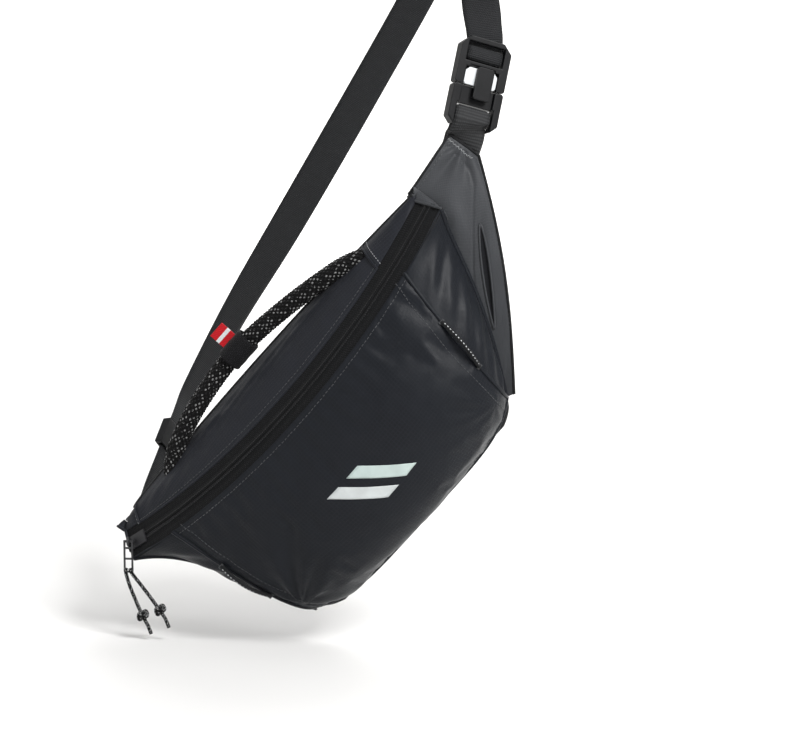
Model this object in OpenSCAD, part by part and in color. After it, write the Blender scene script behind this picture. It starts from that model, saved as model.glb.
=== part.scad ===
// Hip bag worn across the body: a zipped pouch with side wings, a rope carry handle,
// a webbing strap loop and a two-part snap buckle.
// Bag frame: X along the bag to the buckle end, Z up the bag, Y = 0 the back panel's flat
// face, -Y the front. worn() turns that frame to the slant it hangs at.

/* [Hang] */
// slant of the bag's long axis as worn, degrees
slant = 48.5; // [0:0.5:60]

/* [Zipper arc] */
// radius of the zipper's arc
zip_r = 315; // [250:5:400]
// angle of the arc from the middle to the zipper's left end, degrees
zip_left = 29; // [20:0.5:32]
// angle of the arc from the middle to the zipper's right end, degrees
zip_right = 30.6; // [20:0.1:33]
// how far the arc's plane drops towards the front, degrees
zip_drop = 29.7; // [15:0.1:45]
// turn of the tape out of the arc's plane, degrees
zip_tilt = 29; // [0:1:45]
// visible width of the two tapes together
zip_w = 21; // [12:1:30]
// front of the arc at the bag's middle: distance ahead of the back face
zip_front = 46; // [30:1:60]
// height of the arc at the bag's middle
zip_mid_z = 29.5; // [15:0.5:45]

/* [Pouch] */
// half the length of the top edge
top_half = 150; // [120:1:170]
// height of the top edge
top_z = 67; // [50:1:80]
// half the length of the bottom seam
bottom_half = 98; // [70:1:120]
// height of the bottom seam
bottom_z = -86.5; // [-100:1:-60]
// half angle where the side seams meet the zipper, degrees
seam_angle = 21.2; // [15:0.1:25]
// thickness of the shell: cloth, foam and lining
shell = 1.6; // [1:0.1:3]
// thickness of the padded back panel
back_t = 4; // [2:0.5:8]

/* [Strap] */
// width of the webbing
web_w = 25; // [20:1:30]
// thickness of the webbing
web_t = 1.6; // [1:0.1:2.5]

/* [Rope handle] */
// diameter of the rope
rope_d = 13; // [8:0.5:16]

/* [Hidden] */
zd = [0, -cos(zip_drop), -sin(zip_drop)];
zn = [0, -sin(zip_drop), cos(zip_drop)];
zc = [0, -zip_front, zip_mid_z] - zip_r * zd;
half_w = zip_w / 2;
gap = 0.8;

function unit(v) = v / norm(v);
function mix(a, b, t) = a * (1 - t) + b * t;
function bez2(a, b, c, t) = mix(mix(a, b, t), mix(b, c, t), t);
function bez3(a, b, c, d, t) = mix(bez2(a, b, c, t), bez2(b, c, d, t), t);
function lim(v, a, b) = max(a, min(b, v));

// A point by the zipper: angle along it, distance across the tape, height off it.
function zp(a, w, h = 0) = zc
    + (zip_r + w * cos(zip_tilt) + h * sin(zip_tilt)) * (sin(a) * [1, 0, 0] + cos(a) * zd)
    + (h * cos(zip_tilt) - w * sin(zip_tilt)) * zn;

// The way into the pouch from a point of its skin.
function inward(p) = unit([0.82 * p[0], -20, lim(0.5 * p[2], -40, 30)] - p);

// Front panel and side seams: s across (-1 to 1), t down from the zipper to the bottom seam.
function front_top(s) = zp(s * seam_angle, half_w + gap);
function front_low(s) = [bottom_half * s, -5.2, bottom_z + 14 * pow(abs(s), 5)];
function fullness(s) = 1 - 0.5 * pow(abs(s), 2.2);
function front(s, t) = let(a = front_top(s), d = front_low(s), k = fullness(s))
    bez3(a, mix(a, d, 0.36) + k * [0, -37, -8], mix(a, d, 0.75) + k * [0, -49, -41], d, t);

// Rear seam, where the back panel, a gusset and a wing meet: t down from the top corner. The
// left end is drawn in, because it bends back round the wearer; its line is given mirrored.
right_seam = [[157, 0, 66], [155, 0, 4], [97, 0, -73]];
left_seam = [[140, 0, 62], [129, 0, -10], [96, 0, -73]];
function rear(t, c = right_seam) = bez2(c[0], c[1], c[2], t);

// Outer edge of a wing, laid flat: the strap end, then a straight hem to the bottom corner.
function hem(t) = t < 0.2 ? mix([203, 0, 73], [206, 0, 49], t / 0.2)
    : mix([206, 0, 49], [102, 0, -75.5], (t - 0.2) / 0.8)
      + sin((t - 0.2) / 0.8 * 180) * [4, 0, -3.3];

// A wing wraps back round the wearer: d along it from the seam, r the bend, a its full angle.
function wrap(d, r, a) = let(f = min(d / r * 180 / PI, a), left = d - f * PI / 180 * r)
    [r * sin(f) + left * cos(f), r * (1 - cos(f)) + left * sin(f)];
function wing(u, t, r, a, c) = let(p = rear(t), q = hem(t), w = wrap(norm(q - p) * u, r, a),
    n = unit(q - p)) rear(t, c) + n * w[0] + [0.5, w[1] - 2, 0];

module worn() rotate([0, -slant, 0]) children();
module flip_x() mirror([1, 0, 0]) children();

// A closed skin between two grids of points with the same rows and columns.
module skin(a, b) {
    m = len(a[0]);
    n = len(a);
    k = n * m;
    pts = concat([for (r = a) each r], [for (r = b) each r]);
    faces = concat(
        [for (i = [0:n - 2], j = [0:m - 2]) each [[i * m + j, i * m + j + 1, i * m + m + j + 1],
            [i * m + j, i * m + m + j + 1, i * m + m + j]]],
        [for (i = [0:n - 2], j = [0:m - 2]) each [[k + i * m + j, k + i * m + m + j + 1,
            k + i * m + j + 1], [k + i * m + j, k + i * m + m + j, k + i * m + m + j + 1]]],
        [for (j = [0:m - 2]) each [[j, k + j, k + j + 1], [j, k + j + 1, j + 1]]],
        [for (j = [0:m - 2]) let(e = (n - 1) * m + j) each [[e, e + 1, k + e + 1],
            [e, k + e + 1, k + e]]],
        [for (i = [0:n - 2]) let(e = i * m) each [[e, e + m, k + e + m], [e, k + e + m, k + e]]],
        [for (i = [0:n - 2]) let(e = i * m + m - 1) each [[e, k + e, k + e + m],
            [e, k + e + m, e + m]]]);
    polyhedron(points = pts, faces = faces);
}

// The same shell thickness laid inside a grid of skin points.
function inside(g, t) = [for (r = g) [for (p = r) p + t * inward(p)]];

// A round tube of radius r through a list of points, with k sides.
module tube(path, r, k = 8) {
    n = len(path);
    rings = [for (i = [0:n - 1])
        let(t = unit(path[min(i + 1, n - 1)] - path[max(i - 1, 0)]),
            e = unit(cross(t, abs(t[1]) > 0.9 ? [1, 0, 0] : [0, 1, 0])), f = cross(t, e))
        for (j = [0:k - 1]) path[i] + r * (cos(j * 360 / k) * e + sin(j * 360 / k) * f)];
    sides = [for (i = [0:n - 2], j = [0:k - 1]) let(q = (j + 1) % k)
        each [[i * k + j, i * k + k + j, i * k + k + q], [i * k + j, i * k + k + q, i * k + q]]];
    ends = [[for (j = [0:k - 1]) j], [for (j = [0:k - 1]) (n - 1) * k + k - 1 - j]];
    polyhedron(points = rings, faces = concat(sides, ends));
}

// A smooth line through hand-chosen points.
function curve(p, steps) = let(n = len(p)) concat([for (i = [0:n - 2], j = [0:steps - 1])
    let(a = p[max(i - 1, 0)], b = p[i], c = p[i + 1], d = p[min(i + 2, n - 1)], t = j / steps)
    0.5 * (2 * b + (c - a) * t + (2 * a - 5 * b + 4 * c - d) * t * t
        + (3 * b - a - 3 * c + d) * t * t * t)], [p[n - 1]]);

// Flat webbing along a line, its face turned to the outward side given at each point.
module webbing(line, out, w = web_w, t = web_t, off = 0) {
    n = len(line);
    dir = [for (i = [0:n - 1]) unit(line[min(i + 1, n - 1)] - line[max(i - 1, 0)])];
    side = [for (i = [0:n - 1]) unit(cross(dir[i], out[i]))];
    face = [for (i = [0:n - 1]) cross(side[i], dir[i])];
    top = [for (i = [0:n - 1]) [for (j = [0, 1])
        line[i] + (off + t / 2) * face[i] + (j - 0.5) * w * side[i]]];
    low = [for (i = [0:n - 1]) [for (j = [0, 1])
        line[i] + (off - t / 2) * face[i] + (j - 0.5) * w * side[i]]];
    skin(top, low);
}

module ring_place(a = 0) rotate([zip_drop, 0, 0]) rotate([0, 0, -90 + a]) children();

// A band that follows the zipper: w0 to w1 across it, h0 to h1 off it, a0 to a1 along it.
module zip_band(w0, w1, h0, h1, a0, a1) translate(zc) ring_place(a0)
    rotate_extrude(angle = a1 - a0, $fn = 180)
    translate([zip_r, 0]) rotate(-zip_tilt) translate([w0, h0]) square([w1 - w0, h1 - h0]);

// Things that sit on the zipper at angle a: X across it to the front panel, Y along it, Z out.
module on_zip(a) translate(zc) ring_place(a) translate([zip_r, 0, 0])
    rotate([0, zip_tilt, 0]) children();

/* pouch */
module front_panel() color([0.13, 0.15, 0.18]) worn() {
    g = [for (i = [0:26]) [for (j = [0:14]) front((i / 13 - 1) * 0.994, 0.004 + 0.992 * j / 14)]];
    skin(g, inside(g, shell));
}

// A gusset: u from the front seam back, t down. Its top edge follows the zipper to its end.
function flat_gusset(u, t, c) = let(q = rear(0.15 + 0.85 * t, c))
    mix(front(1, t), [q[0], -5.4, q[2]], u);
function gusset(u, t, c, end) = flat_gusset(u, t, c)
    + 5 * sin(180 * u) * sin(180 * t) * [0.6, -0.8, 0]
    + pow(1 - t, 6) * (zp(mix(seam_angle, end - 0.4, u), half_w + gap) - flat_gusset(u, 0, c));
module gusset_layer(c, end) {
    g = [for (i = [0:6]) [for (j = [0:12])
        gusset(0.03 + 0.95 * i / 6, 0.004 + 0.98 * j / 12, c, end)]];
    skin(g, inside(g, shell));
}
module gusset_right() color([0.14, 0.16, 0.19]) worn() gusset_layer(right_seam, zip_right);
module gusset_left() color([0.14, 0.16, 0.19]) worn() flip_x() gusset_layer(left_seam, zip_left);

// The top panel and its end tabs fill from the zipper to the top edge between two angles. The
// left corner is drawn in.
module top_cloth(a0, a1, n) {
    g = [for (i = [0:n]) [for (j = [0:6])
        let(a = mix(a0, a1, i / n), f = zp(a, -half_w - gap), x = f[0] / zp(zip_left, -half_w)[0],
            b = [top_half * (x + 1.8 * pow(max(0, -x - 0.76), 1.9)), -5.4, top_z - 4 * x * x],
            t = j / 6)
        mix(b, f, t) + sin(180 * t) * (1 - 0.7 * x * x) * [0, -1.5, 3]]];
    skin(g, inside(g, shell));
}
tab_right = 20.6;
tab_left = 26.2;
seam_gap = 0.15;
module top_panel() color([0.22, 0.24, 0.27]) worn() top_cloth(-tab_left, tab_right, 20);
module top_tab_right() color([0.21, 0.23, 0.26]) worn()
    top_cloth(tab_right + seam_gap, zip_right, 6);
module top_tab_left() color([0.21, 0.23, 0.26]) worn()
    top_cloth(-zip_left, -tab_left - seam_gap, 3);

module back_panel() color([0.12, 0.12, 0.13]) worn() {
    right = [for (i = [1:12]) let(p = rear(0.02 + 0.96 * i / 12)) [p[0] - 1.5, p[2]]];
    left = [for (i = [12:-1:1]) let(p = rear(0.02 + 0.96 * i / 12, left_seam)) [1.5 - p[0], p[2]]];
    low = [[91, -81], [84, -85], [-84, -85], [-90, -81]];
    top = [[-135, 58], [-129, 63], [-120, 64.5], [150, 65.5], [154, 61.5]];
    rotate([90, 0, 0]) linear_extrude(back_t) polygon(concat(right, low, left, top));
}

/* zipper */
slot = 0.8;
module zipper_tape_upper() color([0.11, 0.11, 0.12]) worn()
    zip_band(-half_w, -slot, -0.4, 0.4, -zip_left, zip_right);
module zipper_tape_lower() color([0.11, 0.11, 0.12]) worn()
    zip_band(slot, half_w, -0.4, 0.4, -zip_left, zip_right);
module zipper_coil_upper() color([0.1, 0.1, 0.1]) worn()
    zip_band(-slot - 2.2, -slot, -2, -0.4, -zip_left + 0.6, zip_right - 0.6);
module zipper_coil_lower() color([0.1, 0.1, 0.1]) worn()
    zip_band(slot, slot + 2.2, -2, -0.4, -zip_left + 0.6, zip_right - 0.6);
module zipper_stop_left() color([0.12, 0.12, 0.13]) worn()
    zip_band(-5, 5, 0.4, 1.4, -zip_left, -zip_left + 0.5);
module zipper_stop_right() color([0.12, 0.12, 0.13]) worn()
    zip_band(-5, 5, 0.4, 1.4, zip_right - 0.5, zip_right);

// The slider rests by the left stop: two plates joined through the slot, with a hanging eye.
slider_angle = -zip_left + 2.1;
eye_angle = slider_angle - 0.85;
eye_h = 7;
module zipper_slider() color([0.16, 0.16, 0.17]) worn() {
    on_zip(slider_angle) {
        translate([-4.5, -6.5, 0.9]) cube([9, 13, 1.3]);
        translate([-0.5, -4, -3.9]) cube([1, 8, 5]);
        translate([-4.5, -6, -3.9]) cube([9, 12, 1.2]);
    }
    on_zip(eye_angle) translate([-1.1, -1.6, 1.5]) cube([2.2, 3.2, 3]);
    translate(zp(eye_angle, 0, eye_h)) rotate([0, slant, 0]) rotate([0, 90, 0])
        rotate_extrude($fn = 48) translate([2.6, 0]) circle(r = 0.8, $fn = 24);
}

// The eye's place in the part's frame: the puller swings there about X.
function turn(p) = [p[0] * cos(slant) - p[2] * sin(slant), p[1],
    p[0] * sin(slant) + p[2] * cos(slant)];
eye = turn(zp(eye_angle, 0, eye_h));
puller_l = 22;

module zipper_puller() color([0.13, 0.13, 0.14]) translate(eye) {
    for (s = [-1, 1]) translate([s * 2.7 - 0.6, -0.7, -puller_l + 1]) cube([1.2, 1.4, puller_l - 1]);
    for (z = [-puller_l + 1, -12, -4.6]) translate([-2.7, -0.7, z - 0.6]) cube([5.4, 1.4, 1.2]);
    rotate([0, 90, 0]) cylinder(r = 0.9, h = 6.6, center = true, $fn = 24);
}

// Two cord tails looped through the puller's lower window, each knotted near its end.
cord_d = 2.6;
tail_a = [[-1.4, -2.2, -18.2], [-1.3, -2.2, -22], [1, -3.2, -29], [5, -5, -38], [10, -7, -48],
    [14.5, -8, -56], [17, -8.5, -62]];
tail_b = [[1.4, -2.2, -18.2], [3, -2.3, -22], [8.4, -3.8, -28], [15.4, -6, -36], [22, -8, -44],
    [27, -9, -51], [29.5, -9.5, -57]];
module cord_tail(route) translate(eye) tube(curve(route, 3), cord_d / 2, 8);
module puller_cord_a() color([0.2, 0.2, 0.21]) cord_tail(tail_a);
module puller_cord_b() color([0.2, 0.2, 0.21]) cord_tail(tail_b);

/* rope handle */
rope_path = [[-97, -12, 70], [-80, -9.5, 73.5], [-55, -8, 78], [-25, -8, 81.3], [0, -8, 82],
    [25, -8, 81.3], [55, -8, 78], [80, -9.5, 73.5], [97, -12, 70]];
module rope_handle() color([0.09, 0.09, 0.1]) worn() tube(curve(rope_path, 4), rope_d / 2, 12);
module handle_label() color([0.07, 0.07, 0.08]) worn() translate([-10, -8, 82])
    rotate([0, 90, 0]) difference() {
        cylinder(r = rope_d / 2 + 1.8, h = 20, $fn = 48);
        translate([0, 0, -1]) cylinder(r = rope_d / 2 + 0.8, h = 22, $fn = 48);
    }
module handle_tab() color([0.85, 0.09, 0.12]) worn()
    translate([-6, -8.7, 82 + rope_d / 2 + 1.85]) cube([12, 1.4, 13]);

/* wings and side loops */
module wing_layer(r, a, c, thick = 1.2) {
    g = [for (i = [0:10]) [for (j = [0:20]) wing(mix(0.03, 0.995, i / 10), j / 20, r, a, c)]];
    skin(g, [for (i = [0:10]) [for (j = [0:20])
        let(across = g[min(i + 1, 10)][j] - g[max(i - 1, 0)][j])
        g[i][j] + thick * unit([-across[1], across[0], 0])]]);
}
module wing_right() color([0.32, 0.34, 0.35]) worn() wing_layer(90, 30, right_seam);
module wing_left() color([0.32, 0.34, 0.35]) worn() flip_x() wing_layer(5, 95, left_seam);

// A small bound loop stands off each side seam.
function loop_path() = [for (i = [0:14]) let(t = 0.27 + 0.35 * i / 14, b = sin(180 * i / 14))
    front(1, t) + (1.9 + 4 * b) * unit([0.5, -0.85, 0])];
module side_loop_right() color([0.2, 0.22, 0.24]) worn() tube(loop_path(), 1.5, 8);
module side_loop_left() color([0.2, 0.22, 0.24]) worn() flip_x() tube(loop_path(), 1.5, 8);

// Two slanted bars stand for the reflective mark.
module front_mark() color([0.75, 0.77, 0.77]) worn() for (k = [0, 1]) {
    g = [for (i = [0:3]) [for (j = [0:5])
        let(s = -0.2 + 0.17 * k + 0.1 * i / 3 + 0.05 * j / 5, t = 0.32 + 0.19 * j / 5,
            p = front(s, t)) p - 0.7 * inward(p)]];
    skin(g, [for (r = g) [for (p = r) p + 0.4 * inward(p)]]);
}

/* buckle: X across it, Y through it with -Y the front, Z up the strap */
buckle_at = [97, 13, 229.5];
buckle_tilt = 11;
buckle_yaw = 28;
buckle_pitch = 10;
frame_w = 36;
slot_w = 26.6;
function spin_y(p, a) = [p[0] * cos(a) + p[2] * sin(a), p[1], p[2] * cos(a) - p[0] * sin(a)];
function spin_z(p, a) = [p[0] * cos(a) - p[1] * sin(a), p[0] * sin(a) + p[1] * cos(a), p[2]];
function spin_x(p, a) = [p[0], p[1] * cos(a) - p[2] * sin(a), p[1] * sin(a) + p[2] * cos(a)];
function bd(v) = spin_x(spin_z(spin_y(v, buckle_tilt), buckle_yaw), -buckle_pitch);
function bk(p) = buckle_at + bd(p);
module at_buckle() translate(buckle_at) rotate([-buckle_pitch, 0, 0]) rotate([0, 0, buckle_yaw])
    rotate([0, buckle_tilt, 0]) children();

// A plate with cut corners, from z0 to z1, through the buckle from y0 to y1.
module plate(w, z0, z1, c0, c1, y0, y1) translate([0, y1, 0]) rotate([90, 0, 0])
    linear_extrude(y1 - y0) polygon([[-w / 2 + c0, z0], [w / 2 - c0, z0], [w / 2, z0 + c0],
        [w / 2, z1 - c1], [w / 2 - c1, z1], [-w / 2 + c1, z1], [-w / 2, z1 - c1],
        [-w / 2, z0 + c0]]);
module block(w, z0, z1, y0, y1) translate([-w / 2, y0, z0]) cube([w, y1 - y0, z1 - z0]);

module buckle_lower() color([0.22, 0.23, 0.24]) at_buckle() difference() {
    plate(frame_w, -28, -0.3, 5, 1, -4.5, 4.5);
    block(slot_w, -29, -21, -6, 6);
    block(slot_w, -17, -12.6, -6, 6);
    block(slot_w, -22, -16, -6, -1.5);
    block(slot_w, -22, -16, 1.5, 6);
    block(24, -13, 1, -6, -1);
}
module buckle_upper() color([0.22, 0.23, 0.24]) at_buckle() difference() {
    plate(frame_w, 0.3, 33, 1, 6, -4.5, 4.5);
    block(slot_w, 16.2, 21, -6, 6);
    block(slot_w, 24.5, 29.8, -6, 6);
    block(slot_w, 20, 25.5, -6, -1.5);
    block(slot_w, 20, 25.5, 1.5, 6);
    block(slot_w, 29, 34, -0.3, 6);
    block(24, -1, 12.5, -6, -1);
    block(18, 12, 13.9, -6, -3.5);
}
module buckle_insert() color([0.8, 0.81, 0.82]) at_buckle()
    plate(23, 0.6, 12.2, 1, 2.5, -3.4, -1);
module buckle_latch() color([0.2, 0.21, 0.22]) at_buckle() translate([2, 0, 0]) {
    plate(12, -8.5, 13.6, 1, 1, -6.2, -3.8);
    block(8, -3.2, -0.6, -4, -1.4);
}

/* webbing */
front_out = [0, -1, 0];
back_out = [0, 1, 0];

// Short webbing from the wing's end, round the lower bar and back behind itself.
tip_at = [90.6, 10.4, 200.4];
tip_out = unit([0.42, -0.87, 0.22]);
mid_at = [91.9, 8, 203.8];
mid_out = bd(front_out);
wing_web = [tip_at, mid_at, bk([0, -2.6, -23]), bk([0, -2.8, -19]), bk([0, -2, -15.4]),
    bk([0, 0.5, -14]), bk([0, 2.9, -16]), bk([0, 3.2, -20]), bk([0, 3.2, -23]),
    mid_at - 4.4 * mid_out, tip_at - 3.2 * tip_out];
wing_web_out = [tip_out, mid_out, mid_out, mid_out, bd([0, -0.8, 0.6]), bd([0, 0, 1]),
    bd([0, 0.9, 0.4]), -mid_out, -mid_out, -mid_out, -tip_out];
module wing_webbing_right() color([0.13, 0.14, 0.15])
    webbing(curve(wing_web, 3), curve(wing_web_out, 3));

// The strap: its tail, the turn round the ladder bar, then up to the shoulder.
front_line = [[94.6, 33.15, 350], [95.32, 32.2, 334], [96.31, 30.9, 312], [97.3, 29.6, 290],
    [99.4, 28.3, 275], bk([0, 4.6, 34]), bk([0, 4.6, 27]), bk([0, 3.5, 20.5]),
    bk([0, 0.6, 17.6]), bk([0, -2.3, 19.2]), bk([0, -2.9, 22.7]), bk([0, -2, 25.8]),
    bk([0, 0.8, 27.3]), bk([0, 2.2, 29.8]), bk([0, 2.2, 34]), [99.4, 25.9, 275],
    [97.3, 27.4, 290], [96.31, 28.7, 312], [95.32, 30, 334], [94.33, 31.3, 356], [95, 37, 390],
    [98.5, 54, 431], [104, 86, 460], [109.9, 123.2, 467]];
front_line_out = [back_out, back_out, back_out, back_out, bd([0.25, 1, 0]), bd(back_out),
    bd(back_out), bd([0, 0.9, -0.4]), bd([0, 0, -1]), bd([0, -0.9, -0.4]), bd(front_out),
    bd([0, -0.8, 0.6]), bd([0, -0.4, 0.9]), bd([0, -0.9, 0.3]), bd(front_out),
    bd([-0.25, -1, 0]), front_out, front_out, front_out, front_out,
    [0, -0.95, 0.3], [0, -0.75, 0.65], [0, -0.3, 0.95], [0, 0.25, 0.97]];
module strap_front() color([0.14, 0.15, 0.16])
    webbing(curve(front_line, 3), curve(front_line_out, 3));

back_line = [[110.05, 124.3, 467], [107, 165, 444], [84, 196, 386], [42, 216, 306],
    [-10, 225, 216], [-62, 215, 125]];
back_line_out = [[0, 0.25, 0.97], [0.05, 0.75, 0.66], [0.1, 0.95, 0.3], [0.1, 0.99, 0.1],
    [0, 1, 0], [-0.35, 0.93, 0]];
module strap_back() color([0.14, 0.15, 0.16])
    webbing(curve(back_line, 5), curve(back_line_out, 5));

left_flat = unit([-0.93, 0.35, -0.175]);
left_line = [[-62.5, 214.8, 124.1], [-101, 191, 56], [-126, 158, 2], [-131.5, 131.6, -21.3],
    [-137, 105.2, -44.6], [-142.5, 78.8, -67.9], [-135.6, 47.2, -75.2]];
left_line_out = [[-0.35, 0.93, 0], [-0.75, 0.66, 0], left_flat, left_flat, left_flat,
    left_flat, unit([-0.653, 0.17, -0.738])];
module strap_left() color([0.14, 0.15, 0.16])
    webbing(curve(left_line, 5), curve(left_line_out, 5));

// A ring with a flat slot that slides on the webbing: size across, along and through it.
module slide_ring(w, l, t, slot_across, slot_through) difference() {
    translate([-w / 2, -t / 2, -l / 2]) cube([w, t, l]);
    translate([-slot_across / 2, -slot_through / 2, -l]) cube([slot_across, slot_through, 2 * l]);
}
module strap_keeper() color([0.1, 0.1, 0.11]) translate([95.82, 30.4, 323])
    rotate([-3.4, 0, 0]) rotate([0, -2.58, 0]) slide_ring(29.4, 10, 7, 26.4, 5);

left_dir = unit([5.5, 26.4, 23.3]);
left_side = unit(cross(left_dir, left_flat));
left_face = cross(left_side, left_dir);
module strap_adjuster() color([0.12, 0.12, 0.13]) multmatrix([
    [left_side[0], -left_face[0], left_dir[0], -134.2],
    [left_side[1], -left_face[1], left_dir[1], 118.4],
    [left_side[2], -left_face[2], left_dir[2], -33],
    [0, 0, 0, 1]]) difference() {
        slide_ring(33, 22, 6, 26.6, 2.8);
        translate([-13.3, -4, -7.5]) cube([26.6, 2.8, 5]);
        translate([-13.3, -4, 2.5]) cube([26.6, 2.8, 5]);
    }

front_panel();
gusset_right();
gusset_left();
top_panel();
top_tab_right();
top_tab_left();
back_panel();
zipper_tape_upper();
zipper_tape_lower();
zipper_coil_upper();
zipper_coil_lower();
zipper_stop_left();
zipper_stop_right();
zipper_slider();
zipper_puller();
puller_cord_a();
puller_cord_b();
rope_handle();
handle_label();
handle_tab();
wing_right();
wing_left();
side_loop_right();
side_loop_left();
front_mark();
buckle_lower();
buckle_upper();
buckle_insert();
buckle_latch();
wing_webbing_right();
strap_front();
strap_back();
strap_left();
strap_keeper();
strap_adjuster();
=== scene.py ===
"""The looks of a cloth hip bag worn across the body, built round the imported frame.

Shapes are worked out in the bag frame, in millimetres: X along the bag to the buckle end, Z up
the bag, Y = 0 the back panel's face and -Y the front. turn() leans them as the bag is worn, and
meshes are made in metres in the row frame.
"""

import math

import bpy
import numpy as np
from mathutils import Matrix, Vector


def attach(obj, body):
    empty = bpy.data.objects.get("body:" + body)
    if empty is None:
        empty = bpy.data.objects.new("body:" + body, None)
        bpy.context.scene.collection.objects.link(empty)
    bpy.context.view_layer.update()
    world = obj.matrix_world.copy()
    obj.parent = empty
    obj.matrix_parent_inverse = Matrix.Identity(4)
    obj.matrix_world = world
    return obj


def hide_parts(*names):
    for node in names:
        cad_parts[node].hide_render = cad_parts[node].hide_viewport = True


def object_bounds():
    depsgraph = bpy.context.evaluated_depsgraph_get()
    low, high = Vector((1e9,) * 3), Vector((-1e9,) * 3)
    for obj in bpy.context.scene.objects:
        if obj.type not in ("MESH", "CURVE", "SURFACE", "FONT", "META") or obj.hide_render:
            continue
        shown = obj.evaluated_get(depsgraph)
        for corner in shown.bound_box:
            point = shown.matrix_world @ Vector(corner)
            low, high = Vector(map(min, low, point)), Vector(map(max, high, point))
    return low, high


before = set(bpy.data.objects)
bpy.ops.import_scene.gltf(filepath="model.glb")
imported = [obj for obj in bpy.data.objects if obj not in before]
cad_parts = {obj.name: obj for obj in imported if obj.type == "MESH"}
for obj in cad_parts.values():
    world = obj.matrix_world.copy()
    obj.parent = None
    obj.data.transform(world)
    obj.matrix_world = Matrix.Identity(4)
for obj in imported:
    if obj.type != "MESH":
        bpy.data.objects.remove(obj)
CAD_BOX = [list(corner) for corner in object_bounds()]
MM = 0.001

# ---------------------------------------------------------------- shape of the bag, in mm
SLANT = math.radians(48.5)
# The zipper runs on an arc: its radius, its plane's drop to the front and the tape's tilt on it.
ZIP_R, ZIP_DROP, ZIP_TILT = 315.0, math.radians(29.7), math.radians(29)
ZIP_LEFT, ZIP_RIGHT = math.radians(29), math.radians(30.6)
HALF_W, HALF_GAP = 10.5, 0.12
SEAM_ANGLE, TAB_RIGHT, TAB_LEFT = math.radians(21.2), math.radians(20.6), math.radians(26.2)
X_AXIS, FORWARD = np.array([1.0, 0, 0]), np.array([0, -1.0, 0])
ZD = np.array([0, -math.cos(ZIP_DROP), -math.sin(ZIP_DROP)])
ZN = np.array([0, -math.sin(ZIP_DROP), math.cos(ZIP_DROP)])
ZC = np.array([0, -46.0, 29.5]) - ZIP_R * ZD
TOP_HALF, TOP_Z, BOTTOM_HALF, BOTTOM_Z = 150.0, 67.0, 98.0, -86.5
WING_THICK = 1.2
CORD_D = 2.6
ROPE_R, STRANDS = 6.5, 12
WEB_WIDTH, WEB_THICK = 25, 1.6


def arr(*v):
    """Coordinates that may be arrays, as one array of points."""
    return np.stack(np.broadcast_arrays(*[np.asarray(x, float) for x in v]), -1)


def turn(p):
    """Bag frame to row frame."""
    x, y, z = np.moveaxis(np.asarray(p, float), -1, 0)
    c, s = math.cos(SLANT), math.sin(SLANT)
    return arr(x * c - z * s, y, x * s + z * c)


def flip(p):
    return np.asarray(p, float) * [-1, 1, 1]


def to_side(p, side):
    """Left pieces are worked out mirrored and flipped over at the end; side is 1 or -1."""
    return flip(p) if side < 0 else p


def unit(v):
    v = np.asarray(v, float)
    return v / np.maximum(np.linalg.norm(v, axis=-1, keepdims=True), 1e-12)


def mix(a, b, t):
    t = np.asarray(t, float)[..., None]
    return np.asarray(a, float) * (1 - t) + np.asarray(b, float) * t


def bez2(a, b, c, t):
    return mix(mix(a, b, t), mix(b, c, t), t)


def bez3(a, b, c, d, t):
    return mix(bez2(a, b, c, t), bez2(b, c, d, t), t)


def zp(a, w, h=0.0):
    """A point by the zipper: angle along it, distance across the tape, height off it."""
    a, w, h = np.broadcast_arrays(*[np.asarray(v, float) for v in (a, w, h)])
    out = ZIP_R + w * math.cos(ZIP_TILT) + h * math.sin(ZIP_TILT)
    up = h * math.cos(ZIP_TILT) - w * math.sin(ZIP_TILT)
    round_it = np.sin(a)[..., None] * X_AXIS + np.cos(a)[..., None] * ZD
    return ZC + out[..., None] * round_it + up[..., None] * ZN


def inward(p):
    q = arr(0.82 * p[..., 0], -20, np.clip(0.5 * p[..., 2], -40, 30))
    return unit(q - p)


def front(s, t, w=HALF_W):
    """The front panel: s across from -1 to 1, t down from the zipper to the bottom seam."""
    s, t = np.broadcast_arrays(np.asarray(s, float), np.asarray(t, float))
    a = zp(s * SEAM_ANGLE, w)
    d = arr(BOTTOM_HALF * s, -5.2, BOTTOM_Z + 14 * np.abs(s) ** 5)
    k = (1 - 0.5 * np.abs(s) ** 2.2)[..., None]
    b = mix(a, d, np.full(s.shape, 0.36)) + k * [0, -37, -8]
    c = mix(a, d, np.full(s.shape, 0.75)) + k * [0, -49, -41]
    return bez3(a, b, c, d, t)


RIGHT_SEAM = [[157, 0, 66], [155, 0, 4], [97, 0, -73]]
LEFT_SEAM = [[140, 0, 62], [129, 0, -10], [96, 0, -73]]
SIDES = ((1, "right"), (-1, "left"))
ENDS = ((1, "right", RIGHT_SEAM, ZIP_RIGHT), (-1, "left", LEFT_SEAM, ZIP_LEFT))


def rear(t, c=RIGHT_SEAM):
    """The rear seam; the left end's is given mirrored, as all left pieces are until flip()."""
    return bez2(*c, t)


def hem(t):
    t = np.asarray(t, float)
    late = np.clip((t - 0.2) / 0.8, 0, 1)
    low = mix([206, 0, 49], [102, 0, -75.5], late) + np.sin(late * np.pi)[..., None] * [4, 0, -3.3]
    return np.where((t < 0.2)[..., None], mix([203, 0, 73], [206, 0, 49], np.clip(t / 0.2, 0, 1)), low)


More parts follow.
